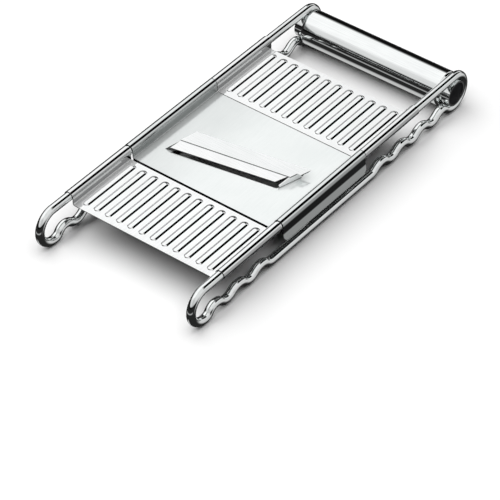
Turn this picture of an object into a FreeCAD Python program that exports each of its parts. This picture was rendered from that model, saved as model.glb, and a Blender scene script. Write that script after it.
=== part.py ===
import FreeCAD, Part
import Sketcher
import math
import os

from FreeCAD import Placement, Rotation, Vector

# Mandoline slicer: two bent side wires carry two ribbed steel plates, a lift-off blade insert and a tube handle.
# Frame: +X to the right seen from the feet, +Y from the feet to the handle, +Z up. The origin is on the surface
# that the slicer stands on, under the middle of its length. Sizes are in millimetres and degrees.

doc = FreeCAD.newDocument("MandolineSlicer")
sheet = doc.addObject("Spreadsheet::Sheet", "Sizes")

DRIVING_SIZES = [
    ("rod_dia", 6.0, "diameter of the side wires"),
    ("rail_half", 60.0, "side wire axis to the middle plane"),
    ("bend_radius", 12.2, "centre-line radius of the foot loop and of the handle ring"),
    ("upper_run", 262.0, "straight upper run, between the centres of the two end bends"),
    ("lower_drop", 23.0, "upper run axis down to the lower run axis"),
    ("wave_pitch", 22.5, "one grip wave of the lower run"),
    ("wave_height", 4.0, "rise of a grip wave"),
    ("front_waves", 3, "grip waves behind the foot loop"),
    ("rear_waves", 4, "grip waves in front of the handle ring"),
    ("front_lead", 10.4, "foot loop centre to the first wave crest"),
    ("rear_lead", 12.85, "last wave crest to the handle ring centre"),
    ("plate_thick", 0.5, "sheet of the plates and the insert"),
    ("bed_depth", 5.3, "upper run axis down to the sliding surface"),
    ("bed_bend", 1.2, "bend between the bed and its side walls"),
    ("sleeve_gap", 0.05, "fixed sleeve to wire"),
    ("sleeve_lip", 30.0, "how far a fixed sleeve wraps below the wire's side"),
    ("clip_gap", 0.15, "lift-off sleeve to wire"),
    ("skirt_knee", 6.2, "upper run axis down to the knee of the skirt"),
    ("skirt_drop", 11.4, "upper run axis down to the skirt's edge"),
    ("skirt_bend", 3.0, "bend at the knee of the skirt"),
    ("skirt_flare", 12.0, "outward lean of the skirt below its knee"),
    ("skirt_corner", 4.0, "rounded lower corners of the skirt"),
    ("bed_front", -115.0, "front edge of the front plate"),
    ("front_length", 56.5, "front plate along Y"),
    ("front_seam", 1.9, "gap between the front plate and the insert"),
    ("front_lip", 2.2, "down-turned lip along the insert's front edge, below the sliding surface"),
    ("insert_length", 86.0, "insert along Y"),
    ("rear_seam", 0.6, "gap between the insert and the rear plate"),
    ("rear_length", 57.6, "rear plate along Y"),
    ("rib_count", 12, "raised ribs on each plate"),
    ("rib_pitch", 9.0, "rib spacing across the plate"),
    ("rib_width", 5.1, "rib width at its foot"),
    ("rib_rise", 0.7, "rib height"),
    ("rib_taper", 60.0, "lean of the rib's flank from upright"),
    ("rib_blend", 2.0, "rounding along the rib's crest and foot"),
    ("rib_margin", 3.6, "rib end to plate edge"),
    ("rib_shift", -1.5, "middle of the rib pattern from the middle plane"),
    ("bridge_y", -23.1, "blade bridge origin along Y; across the bridge is measured from here"),
    ("bridge_skew", 9.7, "turn of the blade about Z"),
    ("bridge_thick", 0.6, "sheet of the bridge"),
    ("bridge_reach", 60.0, "half the length that the bridge and blade are drawn to before their ends are cut"),
    ("ramp_low_across", -5.5, "front edge of the sloping strip, across the bridge"),
    ("ramp_low_drop", 3.0, "upper run axis down to the strip's front edge"),
    ("ramp_skew", 1.0, "how much nearer the ridge the strip's front edge is at its right end"),
    ("ridge_across", 1.0, "top edge of the strip, where the blade's ledge begins, across the bridge"),
    ("ledge_rear", 8.6, "rear edge of the ledge under the blade, across the bridge"),
    ("left_end", -40.5, "left end of the ridge, along the bridge"),
    ("left_slant", 0.43, "sideways lean of the left end, per millimetre across the bridge"),
    ("right_end", 37.8, "right end of the ridge, along the bridge"),
    ("right_slant", 0.48, "sideways lean of the right end, per millimetre across the bridge"),
    ("strip_relief", 1.3, "slit between the strip's top edge and the right end wall"),
    ("foot_relief", 5.0, "slit between the strip's front edge and the right end wall"),
    ("wall_rear", 9.8, "rear edge of the end walls, across the bridge"),
    ("wall_lead", 0.6, "how far the right end wall stands in front of the strip"),
    ("wedge_reach", 4.5, "length of the solid wedge beside the left end"),
    ("blade_front", 1.2, "front edge of the blade, across the bridge"),
    ("blade_edge", 13.2, "cutting edge, across the bridge"),
    ("blade_drop", 0.0, "upper run axis down to the blade's top face"),
    ("blade_thick", 0.8, "blade"),
    ("blade_bevel", 2.2, "width of the ground bevel under the cutting edge"),
    ("blade_tail", 0.4, "how far the blade runs past the right end wall"),
    ("blade_tab", 3.2, "how far the tab at the blade's rear corner runs past the right end wall"),
    ("tab_front", 6.2, "front edge of the tab, across the bridge"),
    ("throat_front", -7.2, "front edge of the throat cut in the insert, across the bridge"),
    ("throat_rear", 12.0, "rear edge of the throat, across the bridge"),
    ("tube_dia", 25.0, "handle tube outside diameter"),
    ("tube_wall", 1.0, "handle tube wall"),
    ("tube_half", 53.0, "half the length of the handle tube"),
    ("shoulder_end", 56.9, "outer face of the handle's shoulder from the middle plane"),
    ("shoulder_round", 3.0, "rounding of the shoulder"),
    ("neck_dia", 18.2, "neck of the handle ends, which passes through the wire rings"),
    ("rim_end", 63.2, "outer end of the neck from the middle plane"),
    ("rim_bore", 15.8, "open mouth of the neck"),
    ("spigot_length", 9.0, "length of the handle end inside the tube"),
    ("spigot_gap", 0.05, "spigot to tube, radial"),
    ("plug_recess", 0.9, "plug face below the rim"),
    ("plug_length", 6.0, "plug"),
    ("plug_gap", 0.05, "plug to mouth, radial"),
]
for row, (alias, value, meaning) in enumerate(DRIVING_SIZES, start=1):
    sheet.set(f"A{row}", alias.replace("_", " "))
    sheet.set(f"B{row}", str(value))
    sheet.set(f"C{row}", meaning)
    sheet.setAlias(f"B{row}", alias)
doc.recompute()


def size(alias):
    return float(sheet.get(alias))


ROD_R = size("rod_dia") / 2
RAIL_HEIGHT = "(Sizes.rod_dia / 2 + 2 * Sizes.bend_radius)"
SUB_PARTS = []


# ---- small drawing kit ---------------------------------------------------------------------------

def new_body(label, **place):
    """A named body, with expressions for the x, y and z of its placement."""
    body = doc.addObject("PartDesign::Body", label)
    body.Label = label
    for axis, formula in place.items():
        body.setExpression(f"Placement.Base.{axis}", formula)
    SUB_PARTS.append(body)
    return body


def origin_part(body, role):
    """One of the body's own origin planes or axes."""
    return next(f for f in body.Origin.OriginFeatures if f.Role == role)


def new_sketch(body, name, role, offset=None):
    """A sketch on one of the body's own origin planes; offset is an expression along the plane's normal."""
    sketch = body.newObject("Sketcher::SketchObject", name)
    sketch.AttachmentSupport = [(origin_part(body, role), "")]
    sketch.MapMode = "FlatFace"
    if offset:
        sketch.setExpression("AttachmentOffset.Base.z", offset)
    return sketch


def line(start, end):
    return Part.LineSegment(Vector(*start, 0), Vector(*end, 0))


def arc(centre, radius, first, last):
    """A circular arc between two angles in degrees, whichever way round they are given."""
    low, high = sorted((math.radians(first), math.radians(last)))
    return Part.ArcOfCircle(Part.Circle(Vector(*centre, 0), Vector(0, 0, 1), radius), low, high)


def draw_polygon(sketch, corners):
    for start, end in zip(corners, corners[1:] + corners[:1]):
        sketch.addGeometry(line(start, end), False)


def draw_slot(sketch, centre_x, half_length, radius):
    """An outline with two straight sides along Y and round ends."""
    straight = half_length - radius
    sketch.addGeometry(line((centre_x + radius, -straight), (centre_x + radius, straight)), False)
    sketch.addGeometry(arc((centre_x, straight), radius, 0, 180), False)
    sketch.addGeometry(line((centre_x - radius, straight), (centre_x - radius, -straight)), False)
    sketch.addGeometry(arc((centre_x, -straight), radius, 180, 360), False)


def trace(start, heading, moves, offset=0.0):
    """Walks a path of straight runs and tangent bends; returns its curves, offset to the left, and its end points.

    A move is ("run", length) or ("bend", radius, degrees), positive degrees turning left.
    """
    x, y = start
    curves = []
    points = []

    def left_point():
        side = math.radians(heading + 90)
        return (x + offset * math.cos(side), y + offset * math.sin(side))

    points.append(left_point())
    for move in moves:
        if move[0] == "run":
            way = math.radians(heading)
            x += move[1] * math.cos(way)
            y += move[1] * math.sin(way)
            curves.append(line(points[-1], left_point()))
        else:
            radius, turn = move[1:]
            hand = math.copysign(1.0, turn)
            side = math.radians(heading + 90 * hand)
            centre = (x + radius * math.cos(side), y + radius * math.sin(side))
            first = heading - 90 * hand
            heading += turn
            end = math.radians(heading - 90 * hand)
            x = centre[0] + radius * math.cos(end)
            y = centre[1] + radius * math.sin(end)
            curves.append(arc(centre, radius - hand * offset, first, first + turn))
        points.append(left_point())
    return curves, points


def draw_sheet_section(sketch, start, heading, moves, thickness):
    """The closed section of a bent sheet whose mid line is the traced path."""
    outer, outer_points = trace(start, heading, moves, thickness / 2)
    inner, inner_points = trace(start, heading, moves, -thickness / 2)
    for curve in outer + inner:
        sketch.addGeometry(curve, False)
    sketch.addGeometry(line(outer_points[0], inner_points[0]), False)
    sketch.addGeometry(line(outer_points[-1], inner_points[-1]), False)


def swing(length, rise, last_radius=None):
    """Two arcs that lead from level to level, over a length and up or down a rise. They are equal by default."""
    both = (length**2 + rise**2) / (2 * abs(rise))
    last = last_radius or both / 2
    turn = math.degrees(2 * math.atan(rise / length))
    return [("bend", both - last, turn), ("bend", last, -turn)]


# ---- side wires ----------------------------------------------------------------------------------

def wire_moves():
    """Upper run towards the feet, foot loop, wavy lower run, and the ring round the handle's end."""
    bend = size("bend_radius")
    drop = 2 * bend
    crest = size("lower_drop") - size("wave_height")
    half_pitch = size("wave_pitch") / 2
    height = size("wave_height")
    front_waves = int(size("front_waves"))
    rear_waves = int(size("rear_waves"))
    moves = [("run", size("upper_run")), ("bend", bend, 180)]
    moves += swing(size("front_lead"), drop - crest)
    for wave in range(front_waves):
        moves += swing(half_pitch, -height)
        if wave < front_waves - 1:
            moves += swing(half_pitch, height)
    front_reach = size("front_lead") + (2 * front_waves - 1) * half_pitch
    rear_reach = size("rear_lead") + (2 * rear_waves - 1) * half_pitch
    moves.append(("run", size("upper_run") - front_reach - rear_reach))
    for wave in range(rear_waves):
        moves += swing(half_pitch, height)
        if wave < rear_waves - 1:
            moves += swing(half_pitch, -height)
    moves += swing(size("rear_lead"), -(drop - crest), last_radius=bend)
    moves.append(("bend", bend, 180))
    return moves


def make_side_wire(label, side):
    body = new_body(label, x=f"{side} * Sizes.rail_half", z=RAIL_HEIGHT)
    path = new_sketch(body, label + "_path", "YZ_Plane")
    curves, _ = trace((size("upper_run") / 2, 0), 180, wire_moves())
    for curve in curves:
        path.addGeometry(curve, False)
    section = new_sketch(body, label + "_section", "XZ_Plane")
    section.addGeometry(Part.Circle(Vector(0, 0, 0), Vector(0, 0, 1), ROD_R), False)
    rod = section.addConstraint(Sketcher.Constraint("Diameter", 0, size("rod_dia")))
    section.setExpression(f"Constraints[{rod}]", "Sizes.rod_dia")
    pipe = body.newObject("PartDesign::AdditivePipe", label + "_rod")
    pipe.Profile = section
    pipe.Spine = (path, [])
    body.Tip = pipe


# ---- bed plates ----------------------------------------------------------------------------------

def bed_moves(sleeve_radius, lip_turn):
    """Mid line of a plate from its right sleeve to its left one, starting at the sleeve's outer lip."""
    bend = size("bed_bend")
    wall = size("bed_depth") + size("plate_thick") / 2 - bend
    floor = 2 * (size("rail_half") - sleeve_radius - bend)
    sleeve = ("bend", sleeve_radius, 180 + lip_turn)
    corner = ("bend", bend, -90)
    return [sleeve, ("run", wall), corner, ("run", floor), corner, ("run", wall), sleeve]


def pad_along_y(body, sketch, name, length):
    """Thickens a section drawn on the XZ plane equally to both sides of that plane."""
    pad = body.newObject("PartDesign::Pad", name)
    pad.Profile = sketch
    pad.Midplane = True
    pad.setExpression("Length", length)
    body.Tip = pad
    return pad


def make_ribbed_plate(label, middle, length_alias):
    body = new_body(label, y=middle, z=RAIL_HEIGHT)
    section = new_sketch(body, label + "_section", "XZ_Plane")
    thickness = size("plate_thick")
    sleeve_radius = ROD_R + size("sleeve_gap") + thickness / 2
    lip = size("sleeve_lip")
    start = (size("rail_half") + sleeve_radius * math.cos(math.radians(-lip)),
             sleeve_radius * math.sin(math.radians(-lip)))
    draw_sheet_section(section, start, 90 - lip, bed_moves(sleeve_radius, lip), thickness)
    pad_along_y(body, section, label + "_sheet", f"Sizes.{length_alias}")
    first_x = size("rib_shift") - (size("rib_count") - 1) * size("rib_pitch") / 2
    half_length = size(length_alias) / 2 - size("rib_margin")
    rib = new_sketch(body, label + "_rib_outline", "XY_Plane", "-Sizes.bed_depth")
    draw_slot(rib, first_x, half_length, size("rib_width") / 2)
    bead = body.newObject("PartDesign::Pad", label + "_rib")
    bead.Profile = rib
    bead.setExpression("Length", "Sizes.rib_rise")
    bead.setExpression("TaperAngle", "-Sizes.rib_taper")
    beads = repeat_ribs(body, bead, label + "_ribs")
    blend = body.newObject("PartDesign::Fillet", label + "_rib_blend")
    blend.Base = (beads, rib_edges(beads.Shape, half_length))
    blend.setExpression("Radius", "Sizes.rib_blend")
    body.Tip = blend
    hollow = new_sketch(body, label + "_hollow_outline", "XY_Plane", "-Sizes.bed_depth - Sizes.plate_thick")
    draw_slot(hollow, first_x, half_length - thickness, size("rib_width") / 2 - thickness)
    pocket = body.newObject("PartDesign::Pocket", label + "_hollow")
    pocket.Profile = hollow
    pocket.Reversed = True
    pocket.setExpression("Length", "Sizes.rib_rise")
    pocket.setExpression("TaperAngle", "-Sizes.rib_taper")
    repeat_ribs(body, pocket, label + "_hollows")


def repeat_ribs(body, feature, name):
    body.Tip = feature
    doc.recompute()
    pattern = body.newObject("PartDesign::LinearPattern", name)
    pattern.Originals = [feature]
    pattern.Direction = (origin_part(body, "X_Axis"), [""])
    pattern.setExpression("Length", "(Sizes.rib_count - 1) * Sizes.rib_pitch")
    pattern.setExpression("Occurrences", "Sizes.rib_count")
    body.Tip = pattern
    doc.recompute()
    return pattern


def rib_edges(shape, half_length):
    """Names of the edges round every rib's foot and crest."""
    foot = -size("bed_depth")
    names = []
    for number, edge in enumerate(shape.Edges, start=1):
        box = edge.BoundBox
        level = any(abs(box.ZMin - z) < 1e-4 and abs(box.ZMax - z) < 1e-4 for z in (foot, foot + size("rib_rise")))
        if level and max(abs(box.YMin), abs(box.YMax)) < half_length + 0.1 and box.YLength > 0.1:
            names.append(f"Edge{number}")
    return names


# ---- insert with the blade -----------------------------------------------------------------------

def insert_moves(sleeve_radius):
    """Mid line of the insert from its right skirt's edge, over both wires, to its left skirt's edge."""
    knee_bend = size("skirt_bend")
    flare = size("skirt_flare")
    flared = (size("skirt_drop") - size("skirt_knee")) / math.cos(math.radians(flare))
    upright = size("skirt_knee") - knee_bend * math.sin(math.radians(flare))
    outward = [("run", flared), ("bend", knee_bend, -flare), ("run", upright)]
    return outward + bed_moves(sleeve_radius, 0) + outward[::-1]


def end_line(across, left):
    """Distance along the bridge of its left or right end, at a place across it."""
    end, slant = ("left_end", "left_slant") if left else ("right_end", "right_slant")
    return size(end) + size(slant) * (across - size("ridge_across"))


def end_band(front, rear, left, inner, outer):
    """A strip between two places across the bridge, from inner to outer of its left or right end."""
    hand = -1 if left else 1
    corners = [(front, inner), (rear, inner), (rear, outer), (front, outer)]
    return [(end_line(across, left) + hand * reach, across) for across, reach in corners]


def turn_with_blade(point):
    """A point in the bridge's directions, given in the slicer's directions."""
    skew = math.radians(size("bridge_skew"))
    along, across = point
    return (along * math.cos(skew) - across * math.sin(skew), along * math.sin(skew) + across * math.cos(skew))


def make_insert_plate():
    body = new_body("insert_plate", y=INSERT_MIDDLE, z=RAIL_HEIGHT)
    section = new_sketch(body, "insert_section", "XZ_Plane")
    thickness = size("plate_thick")
    sleeve_radius = ROD_R + size("clip_gap") + thickness / 2
    moves = insert_moves(sleeve_radius)
    points = trace((0, 0), 90 + size("skirt_flare"), moves)[1]
    middle = (points[0][0] + points[-1][0]) / 2
    start = (-middle, -size("skirt_drop"))
    draw_sheet_section(section, start, 90 + size("skirt_flare"), moves, thickness)
    pad_along_y(body, section, "insert_sheet", "Sizes.insert_length")
    make_front_lip(body)
    make_throat(body)
    round_skirt_corners(body)


def make_front_lip(body):
    """The insert's front edge turns down between its side walls, with a small bend."""
    section = new_sketch(body, "front_lip_section", "YZ_Plane")
    thickness = size("plate_thick")
    top = -size("bed_depth")
    low = top - size("front_lip")
    front = -size("insert_length") / 2
    back = front + thickness
    draw_polygon(section, [(front, low), (front, top - thickness / 2), (back, top - thickness / 2), (back, low)])
    lip = body.newObject("PartDesign::Pad", "front_lip")
    lip.Profile = section
    lip.Midplane = True
    lip.setExpression("Length", "2 * (Sizes.rail_half - Sizes.rod_dia / 2 - Sizes.clip_gap - Sizes.plate_thick)")
    body.Tip = lip


def make_throat(body):
    outline = new_sketch(body, "throat_outline", "XY_Plane")
    outline.setExpression("AttachmentOffset.Base.y", f"Sizes.bridge_y - ({INSERT_MIDDLE})")
    front = size("throat_front")
    rear = size("throat_rear")
    clear = size("bridge_thick") + 0.2
    corners = [(end_line(front, True) + clear, front), (end_line(front, False) - clear, front),
               (end_line(rear, False) - clear, rear), (end_line(rear, True) + clear, rear)]
    draw_polygon(outline, [turn_with_blade(corner) for corner in corners])
    throat = body.newObject("PartDesign::Pocket", "throat")
    throat.Profile = outline
    throat.setExpression("Length", "Sizes.bed_depth + 2 * Sizes.plate_thick")
    body.Tip = throat


def round_skirt_corners(body):
    outline = new_sketch(body, "skirt_corner_outline", "YZ_Plane")
    radius = size("skirt_corner")
    bottom = -size("skirt_drop") - 1
    for end in (-1, 1):
        edge = end * size("insert_length") / 2
        inner = edge - end * radius
        level = -size("skirt_drop") + radius
        outer = edge + end * 1.0
        outline.addGeometry(arc((inner, level), radius, 270, 360 if end > 0 else 180), False)
        draw = [(edge, level), (outer, level), (outer, bottom), (inner, bottom), (inner, level - radius)]
        for first, last in zip(draw, draw[1:]):
            outline.addGeometry(line(first, last), False)
    corners = body.newObject("PartDesign::Pocket", "skirt_corners")
    corners.Profile = outline
    corners.Midplane = True
    corners.setExpression("Length", "4 * Sizes.rail_half")
    body.Tip = corners


def cut_through(body, name, outline):
    """Takes away everything inside an outline, all the way through the body."""
    cut = body.newObject("PartDesign::Pocket", name)
    cut.Profile = outline
    cut.Midplane = True
    cut.setExpression("Length", "4 * Sizes.bridge_reach")
    body.Tip = cut


def make_blade_bridge():
    body = new_body("blade_bridge", y="Sizes.bridge_y", z=RAIL_HEIGHT)
    turn_body(body)
    section = new_sketch(body, "bridge_section", "YZ_Plane")
    foot = (size("ramp_low_across"), -size("ramp_low_drop"))
    ledge_top = -size("blade_drop") - size("blade_thick")
    ridge = (size("ridge_across"), ledge_top)
    slope = math.atan2(ridge[1] - foot[1], ridge[0] - foot[0])
    thickness = size("bridge_thick")
    under_foot = (foot[0] + thickness * math.sin(slope), foot[1] - thickness * math.cos(slope))
    ledge_low = ledge_top - thickness
    under_bend = under_foot[0] + (ledge_low - under_foot[1]) / math.tan(slope)
    rear = size("ledge_rear")
    draw_polygon(section, [foot, ridge, (rear, ledge_top), (rear, ledge_low), (under_bend, ledge_low), under_foot])
    span = body.newObject("PartDesign::Pad", "bridge_sheet")
    span.Profile = section
    span.Midplane = True
    span.setExpression("Length", "2 * Sizes.bridge_reach")
    body.Tip = span
    trim = new_sketch(body, "bridge_trim_outline", "XY_Plane")
    front = foot[0] - 1
    far = size("bridge_reach")
    draw_polygon(trim, end_band(front, rear + 1, True, 0, far))
    right = end_band(front, rear + 1, False, 0, far)
    right[0] = (right[0][0] - size("foot_relief") - thickness, right[0][1])
    notch = (end_line(ridge[0], False) - size("strip_relief") - thickness, ridge[0])
    draw_polygon(trim, [right[0], notch, (end_line(ridge[0], False), ridge[0] + 0.3), *right[1:]])
    lean = size("ramp_skew") / (size("right_end") - size("left_end"))
    skew_line = [(along, foot[0] + lean * (along - size("left_end"))) for along in (-far, far)]
    front_trim = new_sketch(body, "bridge_front_outline", "XY_Plane")
    draw_polygon(front_trim, [*skew_line, (far, -far), (-far, -far)])
    for name, outline in (("bridge_trim", trim), ("bridge_front_trim", front_trim)):
        cut_through(body, name, outline)
    walls = new_sketch(body, "bridge_wall_outline", "XY_Plane", "-Sizes.bed_depth")
    wall_front = foot[0] - size("wall_lead")
    draw_polygon(walls, end_band(wall_front, size("wall_rear"), False, -thickness, 0))
    left = end_band(foot[0], size("wall_rear"), True, -thickness, 0)
    tip = (left[3][0] - size("wedge_reach"), foot[0] - 0.3)
    ridge_left = (end_line(ridge[0], True), ridge[0])
    draw_polygon(walls, [left[0], left[1], left[2], ridge_left, tip])
    stand = body.newObject("PartDesign::Pad", "bridge_walls")
    stand.Profile = walls
    stand.setExpression("Length", "Sizes.bed_depth")
    body.Tip = stand
    above = new_sketch(body, "bridge_crown_outline", "YZ_Plane")
    draw_polygon(above, [(foot[0] - far, foot[1] - far * math.tan(slope)), ridge, (far, ledge_top), (far, far),
                         (foot[0] - far, far)])
    cut_through(body, "bridge_crown", above)
    beside = new_sketch(body, "wedge_outline", "XZ_Plane")
    top = end_line(ridge[0], True)
    draw_polygon(beside, [(tip[0] - 1, -size("bed_depth")), (tip[0], -size("bed_depth") + 0.1), (top, ledge_top),
                          (top, 5), (tip[0] - 1, 5)])
    cut_through(body, "wedge_slope", beside)


def turn_body(body):
    body.Placement = Placement(Vector(0, 0, 0), Rotation(Vector(0, 0, 1), size("bridge_skew")))
    body.setExpression("Placement.Rotation.Angle", "Sizes.bridge_skew")


def make_blade():
    body = new_body("slicing_blade", y="Sizes.bridge_y", z=RAIL_HEIGHT)
    turn_body(body)
    section = new_sketch(body, "blade_section", "YZ_Plane")
    front = size("blade_front")
    edge = size("blade_edge")
    top = -size("blade_drop")
    low = top - size("blade_thick")
    draw_polygon(section, [(front, low), (front, top), (edge, top), (edge, top - 0.08),
                           (edge - size("blade_bevel"), low)])
    strip = body.newObject("PartDesign::Pad", "blade_strip")
    strip.Profile = section
    strip.Midplane = True
    strip.setExpression("Length", "2 * Sizes.bridge_reach")
    body.Tip = strip
    ends = new_sketch(body, "blade_end_outline", "XY_Plane")
    far = size("bridge_reach")
    draw_polygon(ends, end_band(front - 1, edge + 1, True, 0, far))
    plain = end_band(front - 1, size("tab_front"), False, size("blade_tail"), far)
    tab = end_band(size("tab_front"), edge + 1, False, size("blade_tab"), far)
    draw_polygon(ends, [plain[0], plain[1], tab[0], tab[1], tab[2], plain[3]])
    cut_through(body, "blade_ends", ends)


# ---- handle --------------------------------------------------------------------------------------

def turned_body(label, side, outline):
    """A body of revolution round the handle's axis; the outline is (distance along the handle, radius) moves."""
    body = new_body(label, y="Sizes.upper_run / 2", z=HANDLE_HEIGHT)
    profile = new_sketch(body, label + "_profile", "XY_Plane")
    mirrored = [move if len(move) == 3 else (side * move[0], move[1]) for move in outline]
    draw_profile(profile, mirrored, side)
    turned = body.newObject("PartDesign::Revolution", label + "_turned")
    turned.Profile = profile
    turned.ReferenceAxis = (origin_part(body, "X_Axis"), [""])
    turned.Angle = 360
    body.Tip = turned


def draw_profile(profile, outline, side):
    """A closed outline of corners; a move (x, y, radius) is a corner rounded outwards with that radius."""
    points = []
    for index, move in enumerate(outline):
        if len(move) == 2:
            points.append([move])
            continue
        x, y, radius = move
        x *= side
        points.append([(x - side * radius, y), (x, y - radius)])
        first, last = (0, 90) if side > 0 else (90, 180)
        profile.addGeometry(arc((x - side * radius, y - radius), radius, first, last), False)
    flat = [corner for group in points for corner in (group[0], group[-1])]
    ring = flat[1:] + flat[:1]
    for start, end in zip(ring[::2], ring[1::2]):
        profile.addGeometry(line(start, end), False)


def make_handle():
    outer = size("tube_dia") / 2
    inner = outer - size("tube_wall")
    half = size("tube_half")
    turned_body("handle_tube", 1, [(-half, inner), (-half, outer), (half, outer), (half, inner)])
    spigot = inner - size("spigot_gap")
    bore = size("rim_bore") / 2
    neck = size("neck_dia") / 2
    shoulder = size("shoulder_end")
    rim = size("rim_end")
    start = half - size("spigot_length")
    plug = bore - size("plug_gap")
    face = rim - size("plug_recess")
    for name, side in (("left", -1), ("right", 1)):
        turned_body(f"{name}_handle_end", side, [
            (start, bore), (start, spigot), (half, spigot), (half, outer),
            (shoulder, outer, size("shoulder_round")),
            (shoulder, neck), (rim, neck), (rim, bore),
        ])
        turned_body(f"{name}_handle_plug", side, [
            (face - size("plug_length"), 0), (face - size("plug_length"), plug), (face, plug), (face, 0),
        ])


INSERT_MIDDLE = "Sizes.bed_front + Sizes.front_length + Sizes.front_seam + Sizes.insert_length / 2"
HANDLE_HEIGHT = "Sizes.rod_dia / 2 + Sizes.bend_radius"

for label, side in (("left_side_wire", -1), ("right_side_wire", 1)):
    make_side_wire(label, side)
make_ribbed_plate("front_ribbed_plate", "Sizes.bed_front + Sizes.front_length / 2", "front_length")
make_ribbed_plate(
    "rear_ribbed_plate",
    "Sizes.bed_front + Sizes.front_length + Sizes.front_seam + Sizes.insert_length + Sizes.rear_seam"
    " + Sizes.rear_length / 2",
    "rear_length",
)
make_insert_plate()
make_blade_bridge()
make_blade()
make_handle()
doc.recompute()

os.makedirs("parts", exist_ok=True)
for item in doc.Objects:
    if "Invalid" in item.State or "Error" in item.State:
        raise RuntimeError(f"{item.Label} did not build: {item.State}")
for body in SUB_PARTS:
    if body.Shape.isNull() or not body.Shape.isValid() or len(body.Shape.Solids) != 1:
        raise RuntimeError(f"{body.Label} is not one sound solid")
    body.Shape.exportStep(f"parts/{body.Label}.step")
    box = body.Shape.optimalBoundingBox()
    print(f"{body.Label}: {body.Shape.Volume:.1f} mm3, "
          f"x {box.XMin:.2f} {box.XMax:.2f}, y {box.YMin:.2f} {box.YMax:.2f}, z {box.ZMin:.2f} {box.ZMax:.2f}")
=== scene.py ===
import math

import bpy
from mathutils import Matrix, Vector

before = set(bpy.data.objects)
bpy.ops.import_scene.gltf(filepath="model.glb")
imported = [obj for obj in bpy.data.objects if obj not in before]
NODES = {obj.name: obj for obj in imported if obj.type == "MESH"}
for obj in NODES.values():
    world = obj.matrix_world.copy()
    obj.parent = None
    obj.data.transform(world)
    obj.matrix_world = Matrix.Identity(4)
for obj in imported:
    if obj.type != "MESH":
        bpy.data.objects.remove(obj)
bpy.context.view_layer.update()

# A span is (low, high, level at low, level at high), for Graph.span. Two numbers alone rise from 0 to 1.

# Places on the slicer, in metres. "Across" is the distance from the middle plane.
RIBS_END = 0.0515                            # across: the level strip beside the ribs starts here
SHEET_BEND = (0.0560, 0.0564, 1.0, 0.0)      # across: the level sheet bends up into the side walls
SLEEVES_FROM = 0.0568                        # across: the side walls and sleeves lie past this
BRIDGE_FOOT = 0.0224                         # height: the blade bridge stands on the sheet here

# Shared by every steel finish
HALF_NOISE = (0.35, 0.65)                    # the part of a noise's range that is used
GRAIN_SHARE, CLOUD_SHARE = 0.6, 0.4          # of the tone
CLOUD_SCALE, WEAR_SCALE = 40.0, 900.0
WEAR_MARKS = (0.62, 0.75, 0.0, 0.06)         # wear to added roughness
FOOT_SHADE_FADE, FOOT_SHADE_LEVEL = 0.0003, 0.15         # painted shade where a piece stands on the sheet
SLEEVE_EDGE = 0.0006                         # satin turns to polish over this distance
SLEEVE_POLISH = 0.2                          # of the satin roughness
WALL_ROUGH = (0.6, 0.9, 0.0, 0.18)           # facing sideways to added roughness
PAINTED_SHADE_LEFT = (-0.052, -0.004, 0.83, 1.0)    # x to tone: painted shade, the left of the bed darker
PAINTED_LIGHT_EDGES = (0.03, 0.05, 0.0, 0.03)       # across to added tone: painted light, a little lighter towards the side walls
MATTE_EDGE = 0.001                           # the matte finish starts over this distance
MATTE_LEVEL = (0.7, 0.95, 0.0, 0.5)          # facing up to how matte

# The black plastic
MOULD_GRAIN_SCALE, MOULD_CLOUD_SCALE = 2600.0, 160.0
MOULD_ROUGH = (0.3, 0.7, 0.5, 0.65)          # grain to roughness
MOULD_BUMP, MOULD_RELIEF = 0.6, 4e-5
MOULD_SHEEN = 0.12                           # the plastic's specular level

# Painted shade: the axis that a face looks along, and a span from there to the tone. Faces turned so are
# darkened in place of dark reflections and shade.
RIB_NEAR_ENDS = ("Y", -0.44, -0.34, 0.12, 1.0)
RIGHT_FLANKS = ("X", 0.7, 0.9, 1.0, 0.55)
SEAM_LIP = ("Y", -0.8, -0.6, 0.05, 1.0)
BRIDGE_LEFT = ("X", -0.4, -0.25, 0.2, 1.0)
BRIDGE_FRONT = ("Y", -0.9, -0.7, 0.1, 1.0)
BLADE_RIGHT = ("X", 0.5, 0.7, 1.0, 0.08)

# The studio above the horizon. Around is in degrees round the slicer's length: 0 on the right, 90 overhead.
CARD_STARTS = (42.0, 50.0, 1.0, 0.0)         # around: the dark card along the right
CARD_ENDS = (90.0, 101.0, 0.0, 1.0)
CARD_BEHIND = (0.30, 0.45, 1.0, 0.0)         # y: the card hangs only past this
LEFT_GAP = (146.0, 164.0, 1.0, 0.05)         # around
BACK_WALL = (0.61, 0.80, 1.0, 0.008)         # y
BACK_WALL_ENDS = (-0.30, -0.12)              # x
RIGHT_TONE = (-5.0, 50.0, 0.62, 0.80)        # around
OVERHEAD_TONE = (90.0, 100.0, 0.0, 0.25)     # around, added to the right's tone
FRONT_LOW = (0.10, 0.24)                     # z: the tent's front starts above this
FRONT_ENDS = (-0.30, 0.10)                   # y
FRONT_TONE = (-0.75, -0.45, 0.72, 1.0)       # y

# The studio below the horizon
SWEEP = (-0.66, -0.34, 0.0, 0.62)            # z: a grey sweep on the right behind
SWEEP_RIGHT = (0.10, 0.35)                   # x
SWEEP_BEHIND = (0.0, 0.3)                    # y
PALE_LINE_LOW = (-0.50, -0.44)               # z: a pale line in front
PALE_LINE_HIGH = (-0.40, -0.34, 1.0, 0.0)    # z
PALE_LINE_FRONT = (-0.5, -0.3, 0.35, 0.0)    # y
UNDERSIDE = (-0.88, -0.76, 0.55, 0.0)        # z: a patch seen in the wires' undersides
UNDERSIDE_FRONT = (0.2, 0.4, 1.0, 0.0)       # y
UNDERSIDE_LEFT = (-0.62, -0.52)              # x
UNDERSIDE_RIGHT = (-0.38, -0.3, 1.0, 0.0)    # x
GROUND = 0.02
HORIZON = (-0.03, 0.03)                      # z

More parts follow.
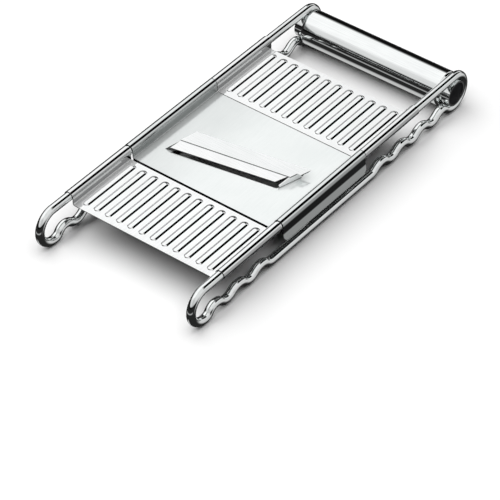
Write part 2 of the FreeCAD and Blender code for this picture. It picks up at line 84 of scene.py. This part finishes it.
FLOOR_RADIUS, FLOOR_SIDES = 3.0, 96
FLOOR_DARK, FLOOR_LIGHT, FLOOR_ROUGH = (0.86, 0.86, 0.86), (0.90, 0.90, 0.90), 0.9
FLOOR_CLOUD_SCALE = 3.0
LIGHT_PLACE, LIGHT_SIZE, LIGHT_WATTS = (-0.2, -0.1, 1.6), 3.4, 78

CAMERA_AZIMUTH, CAMERA_ELEVATION = 37.84, 41.233
CAMERA_TARGET = (0.060293, -0.08583, 0.0274)
CAMERA_DISTANCE = 1.79318
CAMERA_LENS, CAMERA_SENSOR = 211.72, 36.0
CAMERA_CLIP = (0.05, 50.0)


# ---- node kit ------------------------------------------------------------------------------------

class Graph:
    """Short calls for making a shader's nodes and links."""

    def __init__(self, tree):
        self.tree = tree
        self.tree.nodes.clear()

    def add(self, kind, links=None, values=None, **settings):
        node = self.tree.nodes.new(kind)
        for name, value in settings.items():
            setattr(node, name, value)
        for socket, value in (values or {}).items():
            node.inputs[socket].default_value = value
        for socket, source in (links or {}).items():
            self.tree.links.new(source, node.inputs[socket])
        return node

    def maths(self, operation, *terms):
        node = self.add("ShaderNodeMath", operation=operation)
        for index, term in enumerate(terms):
            if isinstance(term, (int, float)):
                node.inputs[index].default_value = term
            else:
                self.tree.links.new(term, node.inputs[index])
        return node.outputs[0]

    def product(self, *levels):
        total = levels[0]
        for level in levels[1:]:
            total = self.maths("MULTIPLY", total, level)
        return total

    def total(self, *levels):
        total = levels[0]
        for level in levels[1:]:
            total = self.maths("ADD", total, level)
        return total

    def span(self, value, low, high, to_low=0.0, to_high=1.0):
        """Maps low..high smoothly to to_low..to_high."""
        node = self.add(
            "ShaderNodeMapRange",
            links={"Value": value},
            values={"From Min": low, "From Max": high, "To Min": to_low, "To Max": to_high},
            interpolation_type="SMOOTHSTEP",
        )
        return node.outputs["Result"]

    def noise(self, stretch, scale, detail=3.0, roughness=0.5):
        """Object-space noise, stretched by different scales along x, y and z."""
        place = self.add("ShaderNodeTexCoord").outputs["Object"]
        mapping = self.add("ShaderNodeMapping", links={"Vector": place}, values={"Scale": stretch})
        node = self.add(
            "ShaderNodeTexNoise",
            links={"Vector": mapping.outputs["Vector"]},
            values={"Scale": scale, "Detail": detail, "Roughness": roughness},
        )
        return node.outputs["Fac"]

    def facing(self, axis, low, high, to_low, to_high):
        """A level that follows how far the surface faces along x, y or z."""
        normal = self.add("ShaderNodeNewGeometry").outputs["Normal"]
        turned = self.add("ShaderNodeSeparateXYZ", links={"Vector": normal}).outputs[axis]
        return self.span(turned, low, high, to_low, to_high)

    def place(self, axis):
        """Where the surface is along x, y or z, on the piece itself."""
        place = self.add("ShaderNodeTexCoord").outputs["Object"]
        return self.add("ShaderNodeSeparateXYZ", links={"Vector": place}).outputs[axis]

    def shade(self, colour, *levels):
        """The colour times each of the levels."""
        for level in levels:
            node = self.add("ShaderNodeVectorMath", links={0: colour}, operation="SCALE")
            self.tree.links.new(level, node.inputs["Scale"])
            colour = node.outputs["Vector"]
        return colour

    def tint(self, factor, dark, light):
        """A colour between dark and light."""
        ramp = self.add("ShaderNodeMix", data_type="RGBA")
        ramp.inputs["A"].default_value = (*dark, 1.0)
        ramp.inputs["B"].default_value = (*light, 1.0)
        self.tree.links.new(factor, ramp.inputs["Factor"])
        return ramp.outputs["Result"]

    def bump(self, height, strength, distance):
        values = {"Strength": strength, "Distance": distance}
        return self.add("ShaderNodeBump", links={"Height": height}, values=values).outputs["Normal"]

    def surface(self, links, values=None):
        """The material's shader, joined to its output."""
        shader = self.add("ShaderNodeBsdfPrincipled", links=links, values=values)
        self.add("ShaderNodeOutputMaterial", links={"Surface": shader.outputs["BSDF"]})
        return shader


def new_material(name):
    material = bpy.data.materials.new(name)
    material.use_nodes = True
    return material, Graph(material.node_tree)


# ---- materials -----------------------------------------------------------------------------------

def metal(name, dark, light, smooth, rough, grain, grain_scale, relief,
          sleeves_from=None, painted_shade=(), foot=None, matte_from=None):
    """Stainless steel: grain lines, cloudy polish and fine wear in roughness, bump and colour.

    Past sleeves_from, measured across, the sheet is polished rather than satin.
    Entries like RIB_NEAR_ENDS are painted shade and painted dark reflections: they darken cut ends and
    steep flanks by the way those face.
    Up to the height foot, painted shade darkens the corner where the piece stands on the sheet.
    The level sheet between matte_from and the side walls has a blasted, half matte finish."""
    material, g = new_material(name)
    lines = g.noise(grain, grain_scale, detail=4.0, roughness=0.6)
    cloud = g.noise((1, 1, 1), CLOUD_SCALE, detail=2.0)
    wear = g.noise((1, 1, 1), WEAR_SCALE, detail=2.0, roughness=0.7)
    blend = g.total(g.product(lines, GRAIN_SHARE), g.product(cloud, CLOUD_SHARE))
    level = g.span(blend, *HALF_NOISE)
    # painted shade: faces turned the listed ways are darkened, standing in for dark reflections and shade
    colour = g.shade(g.tint(level, dark, light), *[g.facing(*entry) for entry in painted_shade])
    polish = g.total(g.product(level, rough - smooth), smooth)
    if foot:
        # painted shade in the corner at the bridge's foot
        colour = g.shade(colour, g.span(g.place("Z"), foot, foot + FOOT_SHADE_FADE, FOOT_SHADE_LEVEL, 1.0))
    if sleeves_from:
        across = g.maths("ABSOLUTE", g.place("X"))
        sideways = g.maths("ABSOLUTE", g.facing("X", -1.0, 1.0, -1.0, 1.0))
        edge = (sleeves_from - SLEEVE_EDGE, sleeves_from)
        polish = g.total(polish, g.span(sideways, *WALL_ROUGH))
        polish = g.product(polish, g.span(across, *edge, 1.0, SLEEVE_POLISH))
        # painted shade and light on the bed: darker to the left, a little lighter towards the side walls,
        # none on the sleeves
        painted_bed_tone = g.total(
            g.span(g.place("X"), *PAINTED_SHADE_LEFT), g.span(across, *PAINTED_LIGHT_EDGES), g.span(across, *edge))
        colour = g.shade(colour, g.maths("MINIMUM", painted_bed_tone, 1.0))
    polish = g.total(polish, g.span(wear, *WEAR_MARKS))
    shader = g.surface(
        {"Base Color": colour, "Roughness": polish, "Normal": g.bump(lines, 1.0, relief)},
        {"Metallic": 1.0},
    )
    if matte_from is not None:
        across = g.maths("ABSOLUTE", g.place("X"))
        starts = g.span(across, matte_from - MATTE_EDGE, matte_from)
        matte = g.product(starts, g.span(across, *SHEET_BEND), g.facing("Z", *MATTE_LEVEL))
        g.tree.links.new(g.maths("SUBTRACT", 1.0, matte), shader.inputs["Metallic"])
    return material


def plastic(name, dark, light):
    """Moulded plastic with a fine grain."""
    material, g = new_material(name)
    grain = g.noise((1, 1, 1), MOULD_GRAIN_SCALE)
    cloud = g.noise((1, 1, 1), MOULD_CLOUD_SCALE, detail=2.0)
    colour = g.tint(g.span(cloud, *HALF_NOISE), dark, light)
    rough = g.span(grain, *MOULD_ROUGH)
    g.surface(
        {"Base Color": colour, "Roughness": rough, "Normal": g.bump(grain, MOULD_BUMP, MOULD_RELIEF)},
        {"Specular IOR Level": MOULD_SHEEN},
    )
    return material


WIRE = metal(
    "polished_wire", dark=(0.85, 0.87, 0.868), light=(0.92, 0.94, 0.937), smooth=0.02, rough=0.05,
    grain=(1, 0.15, 1), grain_scale=900, relief=6e-7)
PLATE = metal(
    "bright_plate", dark=(0.88, 0.89, 0.89), light=(0.93, 0.94, 0.94), smooth=0.03, rough=0.07,
    grain=(1, 0.04, 1), grain_scale=1500, relief=8e-7,
    painted_shade=[RIB_NEAR_ENDS, RIGHT_FLANKS], matte_from=RIBS_END)
INSERT = metal(
    "satin_insert", dark=(0.755, 0.785, 0.78), light=(0.805, 0.83, 0.825), smooth=0.12, rough=0.18,
    grain=(1, 0.04, 1), grain_scale=1500, relief=8e-7,
    sleeves_from=SLEEVES_FROM, painted_shade=[SEAM_LIP, RIGHT_FLANKS], matte_from=0.0)
BRIDGE = metal(
    "satin_bridge", dark=(0.86, 0.87, 0.87), light=(0.93, 0.94, 0.94), smooth=0.05, rough=0.10,
    grain=(0.04, 1, 1), grain_scale=1500, relief=8e-7,
    painted_shade=[BRIDGE_LEFT, BRIDGE_FRONT], foot=BRIDGE_FOOT)
BLADE = metal(
    "ground_blade", dark=(0.82, 0.84, 0.84), light=(0.92, 0.93, 0.93), smooth=0.06, rough=0.14,
    grain=(0.02, 1, 1), grain_scale=2200, relief=1.2e-6, painted_shade=[BLADE_RIGHT])
TUBE = metal(
    "polished_tube", dark=(0.85, 0.87, 0.868), light=(0.92, 0.94, 0.937), smooth=0.02, rough=0.05,
    grain=(0.04, 1, 1), grain_scale=1200, relief=3e-7)
BLACK = plastic("black_plug_plastic", dark=(0.004, 0.004, 0.005), light=(0.010, 0.010, 0.012))

FINISHES = {
    "left_side_wire": WIRE,
    "right_side_wire": WIRE,
    "front_ribbed_plate": PLATE,
    "rear_ribbed_plate": PLATE,
    "insert_plate": INSERT,
    "blade_bridge": BRIDGE,
    "slicing_blade": BLADE,
    "handle_tube": TUBE,
    "left_handle_end": TUBE,
    "right_handle_end": TUBE,
    "left_handle_plug": BLACK,
    "right_handle_plug": BLACK,
}
for node_name, finish in FINISHES.items():
    for slot in NODES[node_name].material_slots:
        slot.material = finish


# ---- studio --------------------------------------------------------------------------------------

def make_floor():
    """A plain pale floor. Steel doesn't reflect it: the world below the horizon stands in for it."""
    bpy.ops.mesh.primitive_circle_add(
        vertices=FLOOR_SIDES, radius=FLOOR_RADIUS, fill_type="NGON", location=(0, 0, 0))
    floor = bpy.context.object
    floor.name = "studio_floor"
    material, g = new_material("pale_floor")
    cloud = g.noise((1, 1, 1), FLOOR_CLOUD_SCALE, detail=2.0)
    g.surface({"Base Color": g.tint(cloud, FLOOR_DARK, FLOOR_LIGHT)}, {"Roughness": FLOOR_ROUGH})
    floor.data.materials.append(material)
    floor.visible_glossy = False


def make_world():
    """A bright studio tent. Its gaps and dark cards draw the dark lines on wires and tube."""
    world = bpy.data.worlds.new("studio")
    bpy.context.scene.world = world
    world.use_nodes = True
    g = Graph(world.node_tree)
    way = g.add("ShaderNodeTexCoord").outputs["Generated"]
    axes = g.add("ShaderNodeSeparateXYZ", links={"Vector": way}).outputs
    x, y, z = axes["X"], axes["Y"], axes["Z"]
    around = g.product(g.maths("ARCTAN2", z, x), 180 / math.pi)

    card = g.maths("MAXIMUM", g.span(around, *CARD_STARTS), g.span(around, *CARD_ENDS))
    card = g.maths("MAXIMUM", card, g.span(y, *CARD_BEHIND))
    back_wall = g.maths("MAXIMUM", g.span(y, *BACK_WALL), g.span(x, *BACK_WALL_ENDS))
    front_low = g.maths("MAXIMUM", g.span(z, *FRONT_LOW), g.span(y, *FRONT_ENDS))
    tone = g.total(g.span(around, *RIGHT_TONE), g.span(around, *OVERHEAD_TONE))
    above = g.product(
        card, g.span(around, *LEFT_GAP), back_wall, front_low, tone, g.span(y, *FRONT_TONE))

    sweep = g.product(g.span(z, *SWEEP), g.span(x, *SWEEP_RIGHT), g.span(y, *SWEEP_BEHIND))
    pale_line = g.product(
        g.span(z, *PALE_LINE_LOW), g.span(z, *PALE_LINE_HIGH), g.span(y, *PALE_LINE_FRONT))
    underside = g.product(
        g.span(z, *UNDERSIDE), g.span(y, *UNDERSIDE_FRONT),
        g.span(x, *UNDERSIDE_LEFT), g.span(x, *UNDERSIDE_RIGHT))
    below = g.total(sweep, pale_line, underside, GROUND)

    ends = {"Factor": g.span(z, *HORIZON), "A": below, "B": above}
    level = g.add("ShaderNodeMix", links=ends, data_type="FLOAT").outputs["Result"]
    # the steel throws no bright patches onto the floor
    bounced = g.add("ShaderNodeLightPath").outputs["Diffuse Depth"]
    level = g.product(level, g.maths("LESS_THAN", bounced, 0.5))
    background = g.add("ShaderNodeBackground", links={"Color": level}, values={"Strength": 1.0})
    g.add("ShaderNodeOutputWorld", links={"Surface": background.outputs["Background"]})
    world.cycles_visibility.diffuse = False


def add_to_scene(name, data, place, direction):
    """A light or camera at place, that looks along direction."""
    thing = bpy.data.objects.new(name, data)
    bpy.context.scene.collection.objects.link(thing)
    thing.location = place
    thing.rotation_euler = direction.to_track_quat("-Z", "Y").to_euler()
    return thing


def make_light():
    """One large soft light overhead, that faces the slicer."""
    data = bpy.data.lights.new("overhead", "AREA")
    data.shape = "RECTANGLE"
    data.size = data.size_y = LIGHT_SIZE
    data.energy = LIGHT_WATTS
    light = add_to_scene("overhead", data, LIGHT_PLACE, -Vector(LIGHT_PLACE))
    light.visible_glossy = False


def make_camera():
    """A long lens, at the photograph's viewing angle."""
    azimuth, elevation = math.radians(CAMERA_AZIMUTH), math.radians(CAMERA_ELEVATION)
    level = math.cos(elevation)
    back = Vector((math.sin(azimuth) * level, -math.cos(azimuth) * level, math.sin(elevation)))
    data = bpy.data.cameras.new("camera")
    data.lens = CAMERA_LENS
    data.sensor_width = CAMERA_SENSOR
    data.clip_start, data.clip_end = CAMERA_CLIP
    place = Vector(CAMERA_TARGET) + back * CAMERA_DISTANCE
    bpy.context.scene.camera = add_to_scene("camera", data, place, -back)


make_floor()
make_world()
make_light()
make_camera()
bpy.context.scene.view_settings.view_transform = "Standard"
